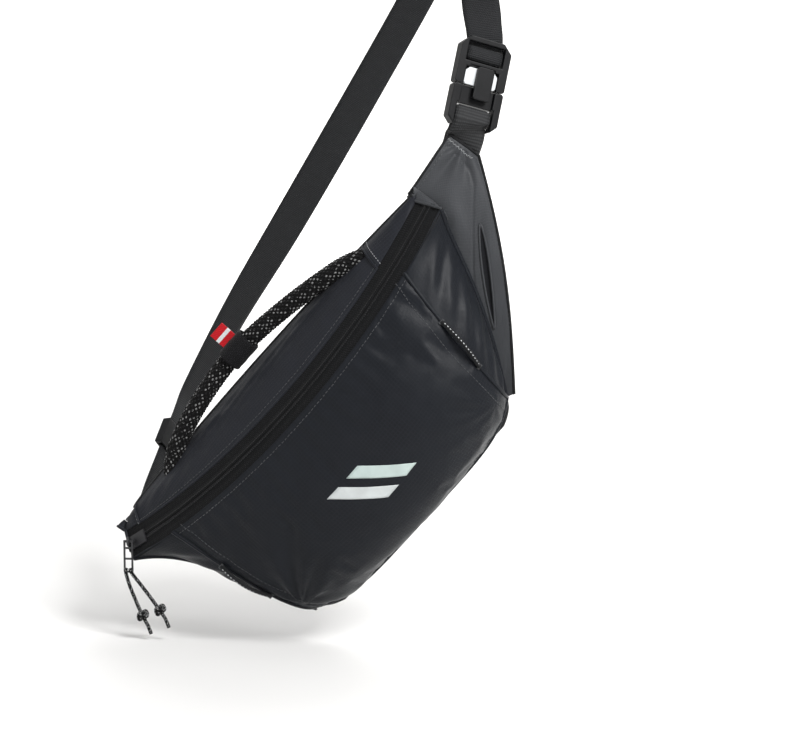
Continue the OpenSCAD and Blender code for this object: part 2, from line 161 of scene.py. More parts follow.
def wing(u, t, r, a, c):
    """A wing: u out from the rear seam, t down it, wrapped back with bend r up to a full angle."""
    u, t = np.broadcast_arrays(np.asarray(u, float), np.asarray(t, float))
    p, q = rear(t), hem(t)
    d = np.linalg.norm(q - p, axis=-1) * u
    f = np.minimum(d / r, a)
    left = d - f * r
    along, back = r * np.sin(f) + left * np.cos(f), r * (1 - np.cos(f)) + left * np.sin(f)
    return rear(t, c) + unit(q - p) * along[..., None] + arr(0.5, back - 2, 0)


def gusset(u, t, c, end):
    """A gusset: u from the front seam back, t down. Its top edge follows the zipper to its end."""
    u, t = np.broadcast_arrays(np.asarray(u, float), np.asarray(t, float))

    def flat(at):
        q = rear(0.15 + 0.85 * at, c)
        return mix(front(1, at), arr(q[..., 0], -4.2, q[..., 2]), u)

    b = np.sin(np.pi * u) * np.sin(np.pi * t)
    top = zp(SEAM_ANGLE + (end - 0.007 - SEAM_ANGLE) * u, HALF_W - 0.3, 0.8)
    return flat(t) + 5 * b[..., None] * [0.6, -0.8, 0] + ((1 - t) ** 6)[..., None] * (top - flat(0 * t))


def top_cloth(a, t):
    """The cloth above the zipper: a along it, t forward from the top edge."""
    a, t = np.broadcast_arrays(np.asarray(a, float), np.asarray(t, float))
    f = zp(a, -HALF_W)
    x = f[..., 0] / zp(ZIP_LEFT, -HALF_W)[0]
    b = arr(TOP_HALF * (x + 1.8 * np.maximum(0, -x - 0.76) ** 1.9), -4.4, TOP_Z - 4 * x * x)
    swell = (np.sin(np.pi * t) * (1 - 0.7 * x * x))[..., None] * [0, -1.5, 3]
    return mix(b, f, t) + swell


def run_along(line):
    """The distance run along a line, at each of its points."""
    return np.concatenate([[0], np.cumsum(np.linalg.norm(np.diff(line, axis=0), axis=1))])


def smooth_line(p, steps):
    """A smooth line through given points."""
    p = np.asarray(p, float)
    n, line = len(p), []
    for i in range(n - 1):
        a, b, c, d = p[max(i - 1, 0)], p[i], p[i + 1], p[min(i + 2, n - 1)]
        for j in range(steps):
            t = j / steps
            line.append(0.5 * (2 * b + (c - a) * t + (2 * a - 5 * b + 4 * c - d) * t * t
                               + (3 * b - a - 3 * c + d) * t ** 3))
    return np.array(line + [p[-1]])


# ---------------------------------------------------------------- camera, lights and floor
AZIMUTH, ELEVATION = math.radians(7.3), math.radians(8.2)
toward = Vector((math.sin(AZIMUTH) * math.cos(ELEVATION), -math.cos(AZIMUTH) * math.cos(ELEVATION),
                 math.sin(ELEVATION)))
right = Vector((math.cos(AZIMUTH), math.sin(AZIMUTH), 0))
above = toward.cross(right)
VIEW_W, DISTANCE, SENSOR_W = 0.523, 1.8, 36
aim = right * 0.0417 + above * 0.0393 + toward * 0.03
camera = bpy.data.objects.new("camera", bpy.data.cameras.new("camera"))
bpy.context.collection.objects.link(camera)
camera.location = aim + toward * DISTANCE
camera.rotation_euler = toward.to_track_quat("Z", "Y").to_euler()
camera.data.sensor_width = SENSOR_W
camera.data.lens = SENSOR_W * DISTANCE / VIEW_W
camera.data.clip_end = 50
bpy.context.scene.camera = camera


def lamp(name, place, size, watts, at=(0, 0, 0.05)):
    data = bpy.data.lights.new(name, "AREA")
    data.shape, data.size, data.energy = "DISK", size, watts
    light = bpy.data.objects.new(name, data)
    bpy.context.collection.objects.link(light)
    light.location = place
    light.rotation_euler = (Vector(place) - Vector(at)).to_track_quat("Z", "Y").to_euler()


lamp("key", (1.15, -1.0, 1.45), 0.8, 44)
lamp("fill", (-1.6, -1.5, 0.9), 1.6, 4)
lamp("rim", (0.4, 1.4, 1.5), 1.2, 20)
lamp("backdrop", (0, 3.2, 3.4), 3.0, 330, at=(0, 6, 0.6))
world = bpy.data.worlds.new("studio")
bpy.context.scene.world = world
world.use_nodes = True
world.node_tree.nodes["Background"].inputs[0].default_value = (1, 1, 1, 1)
world.node_tree.nodes["Background"].inputs[1].default_value = 0.56
bpy.context.scene.view_settings.view_transform = "Standard"


# ---------------------------------------------------------------- materials
class Paint:
    """A material under construction: add() makes a node and joins or sets its inputs."""

    def __init__(self, name, base, rough, **shader):
        self.mat = bpy.data.materials.new(name)
        self.mat.use_nodes = True
        self.tree = self.mat.node_tree
        self.bsdf = self.tree.nodes["Principled BSDF"]
        self.bsdf.inputs["Base Color"].default_value = (*base, 1)
        self.bsdf.inputs["Roughness"].default_value = rough
        for key, value in shader.items():
            self.bsdf.inputs[key.replace("_", " ")].default_value = value

    def add(self, kind, *links, **settings):
        node = self.tree.nodes.new("ShaderNode" + kind)
        for key, value in settings.items():
            setattr(node, key, value)
        for i, link in enumerate(links):
            if link is None:
                continue
            if isinstance(link, bpy.types.NodeSocket):
                self.tree.links.new(link, node.inputs[i])
            else:
                node.inputs[i].default_value = link
        return node.outputs[0]

    def math(self, op, a, b=None, c=None):
        return self.add("Math", a, b, c, operation=op)

    def place(self, scale=(1, 1, 1), turned=0.0, uv=True):
        """Surface coordinates in metres, scaled."""
        node = self.tree.nodes.new("ShaderNodeUVMap" if uv else "ShaderNodeTexCoord")
        out = node.outputs["UV" if uv else "Object"]
        m = self.tree.nodes.new("ShaderNodeMapping")
        m.inputs["Scale"].default_value = scale
        m.inputs["Rotation"].default_value = (0, 0, turned)
        self.tree.links.new(out, m.inputs["Vector"])
        return m.outputs[0]

    def noise(self, where, scale, detail):
        node = self.tree.nodes.new("ShaderNodeTexNoise")
        node.inputs["Scale"].default_value = scale
        node.inputs["Detail"].default_value = detail
        node.inputs["Roughness"].default_value = 0.55
        self.tree.links.new(where, node.inputs["Vector"])
        return node.outputs["Fac"]

    def split(self, vector):
        node = self.tree.nodes.new("ShaderNodeSeparateXYZ")
        self.tree.links.new(vector, node.inputs[0])
        return node.outputs

    def wave(self, x, pitch):
        """0 to 1 and back, once each pitch."""
        return self.math("MULTIPLY_ADD", self.math("SINE", self.math("MULTIPLY", x, 2 * math.pi / pitch)),
                         0.5, 0.5)

    def thin_line(self, x, pitch, width):
        """1 on a thin line at each pitch."""
        near = self.math("PINGPONG", x, pitch / 2)
        return self.math("LESS_THAN", near, width / 2)

    def ramp(self, fac, low, high, c0, c1):
        node = self.tree.nodes.new("ShaderNodeMapRange")
        node.inputs["From Min"].default_value = low
        node.inputs["From Max"].default_value = high
        self.tree.links.new(fac, node.inputs["Value"])
        return self.blend_colour(node.outputs["Result"], c0, c1)

    def blend_colour(self, fac, c0, c1):
        node = self.tree.nodes.new("ShaderNodeMix")
        node.data_type = "RGBA"
        self.tree.links.new(fac, node.inputs["Factor"])
        for key, c in (("A", c0), ("B", c1)):
            if isinstance(c, bpy.types.NodeSocket):
                self.tree.links.new(c, node.inputs[6 if key == "A" else 7])
            else:
                node.inputs[6 if key == "A" else 7].default_value = (*c, 1)
        return node.outputs[2]

    def colour(self, socket):
        self.tree.links.new(socket, self.bsdf.inputs["Base Color"])

    def rough(self, fac, low, high):
        node = self.tree.nodes.new("ShaderNodeMapRange")
        node.inputs["To Min"].default_value = low
        node.inputs["To Max"].default_value = high
        self.tree.links.new(fac, node.inputs["Value"])
        self.tree.links.new(node.outputs["Result"], self.bsdf.inputs["Roughness"])

    def bump(self, *heights):
        """Heights as (socket, distance in metres, strength), laid one on another."""
        normal = None
        for height, distance, strength in heights:
            node = self.tree.nodes.new("ShaderNodeBump")
            node.inputs["Strength"].default_value = strength
            node.inputs["Distance"].default_value = distance
            self.tree.links.new(height, node.inputs["Height"])
            if normal is not None:
                self.tree.links.new(normal, node.inputs["Normal"])
            normal = node.outputs[0]
        self.tree.links.new(normal, self.bsdf.inputs["Normal"])


def tint(c, k):
    return tuple(min(1, v * k) for v in c)


def ripstop(name, base, rough, pitch=0.0024, turned=0.0, sheen=0.25, contrast=1.35):
    """Fine nylon: a plain weave with thicker threads that make a small grid."""
    m = Paint(name, base, rough, Sheen_Weight=sheen, Sheen_Roughness=0.4, Specular_IOR_Level=0.15)
    uv = m.place(turned=turned)
    x, y, _ = m.split(uv)
    grid = m.math("MAXIMUM", m.thin_line(x, pitch, pitch * 0.2), m.thin_line(y, pitch, pitch * 0.2))
    weave = m.math("MULTIPLY", m.wave(x, 0.0006), m.wave(y, 0.0006))
    cloud = m.noise(uv, 28, 4)
    fine = m.noise(uv, 900, 2)
    tone = m.ramp(cloud, 0.3, 0.75, tint(base, 0.86), tint(base, 1.16))
    m.colour(m.blend_colour(m.math("MULTIPLY", grid, 0.55), tone, tint(base, contrast)))
    m.rough(fine, rough - 0.07, rough + 0.1)
    m.bump((m.noise(uv, 120, 3), 0.0012, 0.22), (grid, 0.00012, 0.5), (weave, 0.00008, 0.35))
    return m.mat


def tape_cloth(name, base, rough=0.75):
    """Coarse warp-knit tape."""
    m = Paint(name, base, rough, Sheen_Weight=0.05, Sheen_Roughness=0.5, Specular_IOR_Level=0.12)
    uv = m.place()
    x, y, _ = m.split(uv)
    herring = m.math("ADD", x, m.math("PINGPONG", y, 0.0016))
    weave = m.math("MULTIPLY", m.wave(herring, 0.0016), m.wave(y, 0.0011))
    speck = m.noise(uv, 1500, 2)
    m.colour(m.blend_colour(weave, tint(base, 0.45), m.ramp(speck, 0.4, 0.62, base, tint(base, 5.0))))
    m.rough(speck, rough - 0.1, rough + 0.15)
    m.bump((weave, 0.0003, 0.9), (speck, 0.0002, 0.5))
    return m.mat


def webbing_cloth(name, base, ribs=0.0022, rough=0.62, twill=0.6):
    """Woven webbing: crosswise ribs with a slanted twill over them."""
    m = Paint(name, base, rough, Sheen_Weight=0.06, Sheen_Roughness=0.4, Specular_IOR_Level=0.25)
    uv = m.place()
    x, y, _ = m.split(uv)
    rib = m.wave(y, ribs)
    slant = m.wave(m.math("ADD", x, m.math("MULTIPLY", y, twill)), 0.0014)
    weave = m.math("MULTIPLY", rib, m.math("MULTIPLY_ADD", slant, 0.6, 0.4))
    cloud = m.noise(uv, 160, 3)
    tone = m.ramp(cloud, 0.3, 0.7, tint(base, 0.9), tint(base, 1.15))
    m.colour(m.blend_colour(weave, tint(base, 0.5), tone))
    m.rough(weave, rough + 0.12, rough - 0.08)
    m.bump((weave, 0.00035, 0.9), (m.noise(uv, 2500, 2), 0.0001, 0.5))
    return m.mat


def braid(name, base, fleck, strand, lean, fleck_share):
    """Rope sheath: two families of slanted strands, with pale threads where one lies over."""
    rough = 0.75
    m = Paint(name, base, rough, Sheen_Weight=0.05, Sheen_Roughness=0.5, Specular_IOR_Level=0.15)
    uv = m.place()
    x, y, _ = m.split(uv)
    slant = m.math("MULTIPLY", y, lean)
    left, other = m.wave(m.math("ADD", x, slant), strand), m.wave(m.math("SUBTRACT", x, slant), strand)
    over = m.math("MULTIPLY", left, other)
    pale = m.math("GREATER_THAN", m.noise(uv, 0.75 / strand, 1), fleck_share)
    hair = m.noise(m.place(scale=(1, 0.35, 1)), 2.6 / strand, 2)
    lit = m.math("MULTIPLY", m.math("GREATER_THAN", over, 0.42), m.math("MULTIPLY_ADD", hair, 1.1, 0.1))
    dark = m.blend_colour(over, tint(base, 0.3), tint(base, 1.6))
    m.colour(m.blend_colour(m.math("MULTIPLY", pale, lit), dark, fleck))
    m.rough(hair, rough - 0.1, rough + 0.15)
    m.bump((over, 0.0005, 0.8), (hair, 0.0002, 0.6))
    return m.mat


def moulded(name, base, rough=0.42, grain=0.25, level=0.5):
    """Moulded plastic with a fine grain and a little wear."""
    m = Paint(name, base, rough, Specular_IOR_Level=level)
    where = m.place(uv=False)
    grit, cloud = m.noise(where, 2200, 2), m.noise(where, 60, 3)
    m.colour(m.ramp(cloud, 0.3, 0.75, tint(base, 0.88), tint(base, 1.18)))
    m.rough(cloud, rough - 0.06, rough + 0.12)
    m.bump((grit, 0.00012, grain), (cloud, 0.0004, 0.08))
    return m.mat


def thread(name, base):
    m = Paint(name, base, 0.6, Sheen_Weight=0.3)
    where = m.place(uv=False)
    m.colour(m.ramp(m.noise(where, 1800, 2), 0.3, 0.7, tint(base, 0.75), tint(base, 1.15)))
    m.bump((m.noise(where, 4000, 2), 0.0001, 0.5))
    return m.mat


FRONT = ripstop("body_cloth", (0.0075, 0.0088, 0.0118), 0.4, sheen=0.05)
TOP = ripstop("top_cloth", (0.013, 0.0142, 0.0185), 0.4, sheen=0.06)
WING = ripstop("wing_cloth", (0.042, 0.044, 0.048), 0.45, pitch=0.0015, turned=0.78, sheen=0.12, contrast=1.3)
# Very dark cloth: painted shade inside the right wing's slit, and also the real colour of the wing's two
# thread dots.
DARK = ripstop("slit_shade_and_dots", (0.006, 0.0065, 0.008), 0.8)
BACK = tape_cloth("back_mesh", (0.02, 0.02, 0.0225), 0.85)
TAPE = tape_cloth("zip_tape", (0.0042, 0.0044, 0.005))
WEB = webbing_cloth("webbing", (0.0155, 0.0165, 0.0185), ribs=0.0012)
RIBBED = webbing_cloth("ribbed_webbing", (0.034, 0.035, 0.037), ribs=0.0021, twill=0.0)
ELASTIC = webbing_cloth("elastic", (0.008, 0.008, 0.009), ribs=0.0016)
BIND = webbing_cloth("binding", (0.011, 0.0115, 0.013), ribs=0.0009)
ROPE = braid("rope", (0.0022, 0.0022, 0.0025), (0.26, 0.26, 0.26), 0.0034034, 0.8, fleck_share=0.53)
CORD = braid("fleck_cord", (0.003, 0.003, 0.0033), (0.9, 0.9, 0.9), 0.0013614, 0.8, fleck_share=0.52)
LABEL = tape_cloth("label", (0.006, 0.006, 0.007), 0.7)
RED = webbing_cloth("red_tab", (0.72, 0.01, 0.02), ribs=0.0007, rough=0.7)
PLASTIC = moulded("buckle_plastic", (0.0045, 0.0047, 0.0055), 0.36, level=0.22)
PALE = moulded("pale_plastic", (0.62, 0.64, 0.65), 0.3, 0.1)
METAL = moulded("zip_metal", (0.018, 0.018, 0.02), 0.35, 0.1)
COIL = moulded("zip_coil", (0.009, 0.009, 0.01), 0.5)
GREY_THREAD = thread("grey_thread", (0.3, 0.31, 0.32))
PALE_THREAD = thread("pale_thread", (0.6, 0.62, 0.63))
DARK_THREAD = thread("dark_thread", (0.03, 0.033, 0.037))
MARK = moulded("reflective", (0.5, 0.53, 0.53), 0.35, 0.3)
MARK_2 = moulded("reflective_pale", (0.42, 0.5, 0.48), 0.35, 0.3)


# ---------------------------------------------------------------- mesh helpers
def make(name, verts, faces, material, uvs=None):
    """A mesh piece from points in mm in the row frame, with uvs in metres per vertex."""
    mesh = bpy.data.meshes.new(name)
    mesh.from_pydata([tuple(v) for v in np.asarray(verts) * MM], [], faces)
    if uvs is not None:
        layer = mesh.uv_layers.new(name="UVMap")
        index = np.zeros(len(mesh.loops), np.int32)
        mesh.loops.foreach_get("vertex_index", index)
        layer.data.foreach_set("uv", np.asarray(uvs, float)[index].ravel())
    mesh.materials.append(material)
    mesh.polygons.foreach_set("use_smooth", [True] * len(mesh.polygons))
    mesh.validate()
    piece = bpy.data.objects.new(name, mesh)
    bpy.context.collection.objects.link(piece)
    return piece


def grid_faces(n, m, start=0, wrap=False):
    cols = m if wrap else m - 1
    return [(start + i * m + j, start + i * m + (j + 1) % m, start + (i + 1) * m + (j + 1) % m,
             start + (i + 1) * m + j) for i in range(n - 1) for j in range(cols)]


def lengths(grid):
    """Distances in metres along both ways of a grid, as uvs."""
    du = np.linalg.norm(np.diff(grid, axis=0), axis=-1)
    dv = np.linalg.norm(np.diff(grid, axis=1), axis=-1)
    u = np.vstack([np.zeros(grid.shape[1]), np.cumsum(du, 0)])
    v = np.hstack([np.zeros((grid.shape[0], 1)), np.cumsum(dv, 1)])
    u = u - u.mean(0)
    return np.stack([u, v], -1) * MM


def cloth_piece(name, grid, material, thick=1.0, body="bag", replaces=(), outer=-1.0):
    """A sewn panel from a grid of points in the row frame, given its thickness."""
    n, m, _ = grid.shape
    piece = make(name, grid.reshape(-1, 3), grid_faces(n, m), material, lengths(grid).reshape(-1, 2))
    solid = piece.modifiers.new("thickness", "SOLIDIFY")
    solid.thickness, solid.offset = thick * MM, outer
    return settle(piece, body, replaces)


def settle(piece, body, replaces=()):
    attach(piece, body)
    if replaces:
        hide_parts(*replaces)
    return piece


def frames(line):
    """Tangents and two side vectors that turn as little as possible along a line."""
    t = unit(np.gradient(line, axis=0))
    side = np.zeros_like(t)
    start = np.cross(t[0], [0, 1, 0] if abs(t[0][1]) < 0.9 else [1, 0, 0])
    side[0] = unit(start)
    for i in range(1, len(t)):
        side[i] = unit(side[i - 1] - t[i] * np.dot(side[i - 1], t[i]))
    return t, side, np.cross(t, side)


def tube_grid(line, radius, sides):
    line = np.asarray(line, float)
    t, a, b = frames(line)
    angle = np.arange(sides) / sides * 2 * np.pi
    radius = np.broadcast_to(radius, len(line))
    ring = (np.cos(angle)[None, :, None] * a[:, None] + np.sin(angle)[None, :, None] * b[:, None])
    return line[:, None] + ring * radius[:, None, None]


def tube(name, line, radius, material, sides, ends=True):
    """A round tube along a line, with uvs round it and along it in metres."""
    grid = tube_grid(line, radius, sides)
    n = len(grid)
    # The first column is repeated so that the uvs close without a smear.
    grid = np.concatenate([grid, grid[:, :1]], 1)
    m = sides + 1
    along = run_along(line)
    mean = float(np.mean(radius))
    uv = np.stack(np.meshgrid(np.arange(m) / sides * 2 * np.pi * mean, along), -1) * MM
    faces = grid_faces(n, m)
    verts = grid.reshape(-1, 3)
    uv = uv.reshape(-1, 2)
    if ends:
        for row, order in ((0, 1), (n - 1, -1)):
            middle = len(verts)
            verts = np.vstack([verts, grid[row, :-1].mean(0)])
            uv = np.vstack([uv, uv[row * m]])
            for j in range(sides):
                a, b = row * m + j, row * m + j + 1
                faces.append((middle, b, a) if order > 0 else (middle, a, b))
    return make(name, verts, faces, material, uv)


def roll(name, line, radius, material):
    """A rolled edge of cloth, or a binding, along a line in the row frame."""
    return settle(tube(name, line, radius, material, 8), "bag")


def band_grid(line, out, width, thick):
    """The closed cross-section of webbing, with soft edges, swept along a line."""
    line, out = np.asarray(line, float), np.asarray(out, float)
    t = unit(np.gradient(line, axis=0))
    side = unit(np.cross(t, out))
    face = np.cross(side, t)
    x = np.linspace(-1, 1, 9)
    top = [(v * width / 2, thick / 2 * (1 - 0.75 * abs(v) ** 12)) for v in x]
    section = np.array(top + [(a, -b) for a, b in reversed(top)])
    grid = (line[:, None] + side[:, None] * section[None, :, 0, None]
            + face[:, None] * section[None, :, 1, None])
    return grid, section


def band(name, line, out, material):
    """The bag's webbing, with capped ends, along a line."""
    grid, section = band_grid(line, out, WEB_WIDTH, WEB_THICK)
    n, m, _ = grid.shape
    along = run_along(line)
    uv = arr(section[None, :, 0], along[:, None]) * MM
    faces = grid_faces(n, m, wrap=True)
    faces += [tuple(reversed(range(m))), tuple(range((n - 1) * m, n * m))]
    return make(name, grid.reshape(-1, 3), faces, material, uv.reshape(-1, 2))


def resample(line, step):
    line = np.asarray(line, float)
    along = run_along(line)
    at = np.linspace(0, along[-1], max(2, int(round(along[-1] / step)) + 1))
    return np.stack([np.interp(at, along, line[:, k]) for k in range(3)], 1)


def stitches(name, line, out, material, pitch, length, radius, zigzag=0.0):
    """A row of thread bars along a line, standing a little off the cloth."""
    line = resample(line, pitch)
    out = np.asarray(out, float)
    out = np.broadcast_to(out, line.shape) if out.ndim == 1 else resample_dirs(out, len(line))
    t = unit(np.gradient(line, axis=0))
    side = unit(np.cross(t, out))
    verts, faces = [], []
    angle = np.arange(6) / 6 * 2 * np.pi
    for i in range(len(line)):
        way = unit(t[i] + side[i] * zigzag * (1 if i % 2 else -1))
        across = unit(np.cross(way, out[i]))
        up = np.cross(across, way)
        for k, (s, r) in enumerate(((-0.5, 0.35), (-0.3, 1), (0.3, 1), (0.5, 0.35))):
            dip = -radius * 0.7 if abs(s) == 0.5 else 0
            centre = line[i] + way * s * length + up * dip
            for q in angle:
                verts.append(centre + radius * r * (np.cos(q) * across + np.sin(q) * up))
        base = i * 24
        for k in range(3):
            for j in range(6):
                a, b = base + k * 6 + j, base + k * 6 + (j + 1) % 6
                faces.append((a, b, b + 6, a + 6))
    return settle(make(name, np.array(verts), faces, material), "bag")


def sewn(name, line, out, *style, lift=0.15, in_row=False, zigzag=0.0):
    """A row of stitches on cloth, lifted off it, from a line and its outward directions."""
    place = np.asarray if in_row else turn
    return stitches(name, place(line + out * lift), place(out), *style, zigzag)


def resample_dirs(d, n):
    at = np.linspace(0, len(d) - 1, n)
    return unit(np.stack([np.interp(at, np.arange(len(d)), d[:, k]) for k in range(3)], 1))


# ---------------------------------------------------------------- the puller's cord tails
EYE = turn(zp(-ZIP_LEFT + math.radians(1.25), 0, 7.0))
TAIL_A = [[-1.4, -2.2, -18.2], [-1.3, -2.2, -22], [1, -3.2, -29], [5, -5, -38], [10, -7, -48],
          [14.5, -8, -56], [17, -8.5, -62]]
TAIL_B = [[1.4, -2.2, -18.2], [3, -2.3, -22], [8.4, -3.8, -28], [15.4, -6, -36], [22, -8, -44],
          [27, -9, -51], [29.5, -9.5, -57]]


def knot(name, centre, way, size):
    """An overhand knot: a short cord wound round in a tight trefoil."""
    q = np.linspace(0, 2 * np.pi, 40)
    r = size * 0.34
    path = np.stack([r * (np.sin(q) + 1.6 * np.sin(2 * q)), r * (np.cos(q) - 1.6 * np.cos(2 * q)),
                     -r * 1.3 * np.sin(3 * q)], 1) * 0.62
    turned = Vector((0, 0, 1)).rotation_difference(Vector(way)).to_matrix()
    path = path @ np.array(turned).T + centre
    return tube(name, path, size * 0.24, CORD, 8)


for letter, tail in (("a", TAIL_A), ("b", TAIL_B)):
    tail_name, node = "cord_tail_" + letter, "puller_cord_" + letter
    route = smooth_line(np.array(tail) + EYE, 6)
    cord = tube(tail_name, route, CORD_D / 2, CORD, 10)
    settle(cord, "puller", (node,))
    way = unit(route[-10] - route[-16])
    tied = knot(tail_name + "_knot", route[-12], way, 6.4)
    settle(tied, "puller")
    run = float(run_along(route)[-1])


# ---------------------------------------------------------------- front of the pouch
def crease(p, at, reach, size, count, phase):
    """Creases that run out from a point, in the bag's own X and Z."""
    dx, dz = p[..., 0] - at[0], p[..., 2] - at[1]
    r, angle = np.hypot(dx, dz), np.arctan2(dz, dx)
    fade = np.exp(-(r / reach) ** 2) * np.clip(r / 12, 0, 1)
    return size * fade * np.sin(count * angle + phase + 0.02 * r)


def ripple(x, y, seed, count=7, low=0.02, high=0.09):
    """Soft unevenness from a few crossed waves."""
    rng = np.random.default_rng(seed)
    total = 0
    for _ in range(count):
        f, a, b = rng.uniform(low, high), rng.uniform(0, 2 * np.pi), rng.uniform(0, 2 * np.pi)
        total = total + np.sin(2 * np.pi * f * (x * np.cos(a) + y * np.sin(a)) + b)
    return total / count


def drape(name, grid, pinned, pressure, slack, cap):
    """Cloth simulation of a panel held at its pinned points; returns the settled grid in mm."""
    frames_run = 18
    n, m, _ = grid.shape
    mesh = bpy.data.meshes.new(name)
    mesh.from_pydata([tuple(v) for v in grid.reshape(-1, 3) * MM], [], grid_faces(n, m))
    panel = bpy.data.objects.new(name, mesh)
    bpy.context.collection.objects.link(panel)
    group = panel.vertex_groups.new(name="held")
    for i, weight in enumerate(pinned.ravel()):
        group.add([i], float(weight), "REPLACE")
    cloth = panel.modifiers.new("cloth", "CLOTH")
    cloth.settings.quality = 7
    cloth.settings.mass = 0.12
    cloth.settings.tension_stiffness = cloth.settings.compression_stiffness = 14
    cloth.settings.bending_stiffness = 2.5
    cloth.settings.shrink_min = cloth.settings.shrink_max = -slack
    cloth.settings.use_pressure = True
    cloth.settings.uniform_pressure_force = pressure
    cloth.settings.effector_weights.gravity = 0
    cloth.settings.vertex_group_mass = "held"
    cloth.collision_settings.use_collision = False
    cloth.point_cache.frame_start, cloth.point_cache.frame_end = 1, frames_run
    scene = bpy.context.scene
    for f in range(1, frames_run + 1):
        scene.frame_set(f)
    settled = panel.evaluated_get(bpy.context.evaluated_depsgraph_get()).data
    co = np.zeros(n * m * 3)
    settled.vertices.foreach_get("co", co)
    moved = co.reshape(n, m, 3) / MM - grid
    far = np.linalg.norm(moved, axis=-1, keepdims=True)
    bpy.data.objects.remove(panel)
    scene.frame_set(1)
    return grid + moved * np.minimum(1, cap / np.maximum(far, 1e-9))


def bilinear(grid, s, t):
    """Points of a grid at s and t, both from 0 to 1."""
    n, m, _ = grid.shape
    x, y = np.asarray(s) * (n - 1), np.asarray(t) * (m - 1)
    i, j = np.clip(x.astype(int), 0, n - 2), np.clip(y.astype(int), 0, m - 2)
    fx, fy = (x - i)[..., None], (y - j)[..., None]
    return ((grid[i, j] * (1 - fx) + grid[i + 1, j] * fx) * (1 - fy)
            + (grid[i, j + 1] * (1 - fx) + grid[i + 1, j + 1] * fx) * fy)


def grid_out(grid):
    """Outward directions at a grid's points."""
    du, dv = np.gradient(grid, axis=0), np.gradient(grid, axis=1)
    return unit(np.cross(dv, du))


S, T = np.meshgrid(np.linspace(-1, 1, 131), np.linspace(0, 1, 111), indexing="ij")
flat = front(S, T, HALF_W - 0.5)
lift = 1.5 * np.exp(-T * 9) + 0.5
flat = flat - inward(flat) * lift[..., None]
held = np.maximum.reduce([np.abs(S) > 0.985, T < 0.012, T > 0.985]).astype(float)
rim = np.clip(np.minimum(np.minimum((1 - np.abs(S)) * 18, T * 14), (1 - T) * 14), 0, 1)
fold = (crease(flat, (98, 40), 48, 1.3, 7, 0.4) + crease(flat, (-98, -66), 52, 1.7, 11, 1.0)
        + crease(flat, (92, -70), 34, 0.5, 9, 2.0)
        + 1.3 * ripple(flat[..., 0], flat[..., 2], 21, 4, 0.006, 0.016)
        + 0.3 * ripple(flat[..., 0], flat[..., 2], 4) + 0.4 * np.exp(-T * 12) * np.sin(flat[..., 0] * 0.5)
        + 0.3 * np.exp(-(1 - T) * 14) * np.sin(flat[..., 0] * 0.3 + 1.1))
shaped = flat - inward(flat) * (fold * rim)[..., None]
front_grid = turn(shaped)
front_grid = drape("pouch_front_cloth", front_grid, held, pressure=1.6, slack=0.007, cap=6.0)
front_out = grid_out(front_grid)
cloth_piece("pouch_front", front_grid, FRONT, 1.3, replaces=("front_panel",))

for side, name, seam_line, zip_end in ENDS:
    U, V = np.meshgrid(np.linspace(0, 1, 41), np.linspace(0.0, 0.995, 81), indexing="ij")
    g = gusset(U, V, seam_line, zip_end)
    n = grid_out(g)
    soft = np.sin(np.pi * U) * np.clip(V * 6, 0, 1) * np.clip((1 - V) * 8, 0, 1)
    g = g + n * (soft * (1.0 * ripple(g[..., 2], g[..., 1], 9 + side, low=0.02, high=0.06)
                         + 0.7 * np.sin(V * 42 + U * 5)))[..., None]
    roll("rear_roll_" + name, turn(to_side(g[-1] + [0.2, 0.6, 0], side)), 1.7, FRONT)
    if side < 0:
        g = flip(g)[::-1]
    cloth_piece("gusset_cloth_" + name, turn(g), FRONT, 1.2, replaces=("gusset_" + name,))
    # The seam between front and gusset: a rolled edge with a row of stitches beside it.
    edge = 0 if side < 0 else -1
    seam = front_grid[edge] + front_out[edge] * 0.2
    roll("seam_roll_" + name, seam, 1.25, FRONT)
    inner = 5 if side < 0 else -6
    sewn("seam_stitch_" + name, front_grid[inner], front_out[inner], DARK_THREAD, 3, 2.1, 0.24, in_row=True)

bottom = front_grid[:, -1] + [0, 0.4, 0]
roll("bottom_seam", bottom, 1.5, FRONT)
for name, row, thickness in (("bottom_stitch", -5, 0.24), ("top_edge_stitch", 3, 0.22)):
    sewn(name, front_grid[:, row], front_out[:, row], DARK_THREAD, 3, 2.1, thickness, in_row=True)


# ---------------------------------------------------------------- top panel and its end tabs
def top_piece(name, a0, a1, node, count, seed, swell=0.0):
    """The cloth above the zipper from angle a0 to a1; returns its grid and outward directions."""
    A, V = np.meshgrid(np.linspace(a0, a1, count), np.linspace(0, 1, 41), indexing="ij")
    g = top_cloth(A, V)
    n = grid_out(g)
    soft = np.sin(np.pi * V) ** 0.7
    bump = 0.55 * ripple(g[..., 0], g[..., 1] * 2, seed) + 0.35 * np.sin(g[..., 0] * 0.33 + V * 3) * V
    g = g + n * (soft * (bump + swell) + 0.9)[..., None]
    cloth_piece(name, turn(g), TOP, 1.2, replaces=(node,))
    return g, n


top_grid, top_out = top_piece("top_cloth", -TAB_LEFT, TAB_RIGHT, "top_panel", 155, 3)
for side, name in SIDES:
    ends = (TAB_RIGHT - 0.002, ZIP_RIGHT) if side > 0 else (-ZIP_LEFT, -TAB_LEFT + 0.002)
    g, n = top_piece("tab_cloth_" + name, *ends, "top_tab_" + name, 41, 6 + side, 0.5)
    sewn_row, fold_row = (3, 0) if side > 0 else (-4, -1)
    sewn("tab_stitch_" + name, g[sewn_row], n[sewn_row], GREY_THREAD, 2.4, 1.5, 0.22, lift=0.2)
    cross = g[fold_row] + n[fold_row] * 0.3
    roll("tab_fold_" + name, turn(cross), 0.75, TOP)
sewn("zip_stitch_upper", top_grid[:, -4], top_out[:, -4], DARK_THREAD, 3, 2.1, 0.22)
roll("top_edge_roll", turn(top_grid[:, -1] + top_out[:, -1] * -0.4), 0.75, TOP)
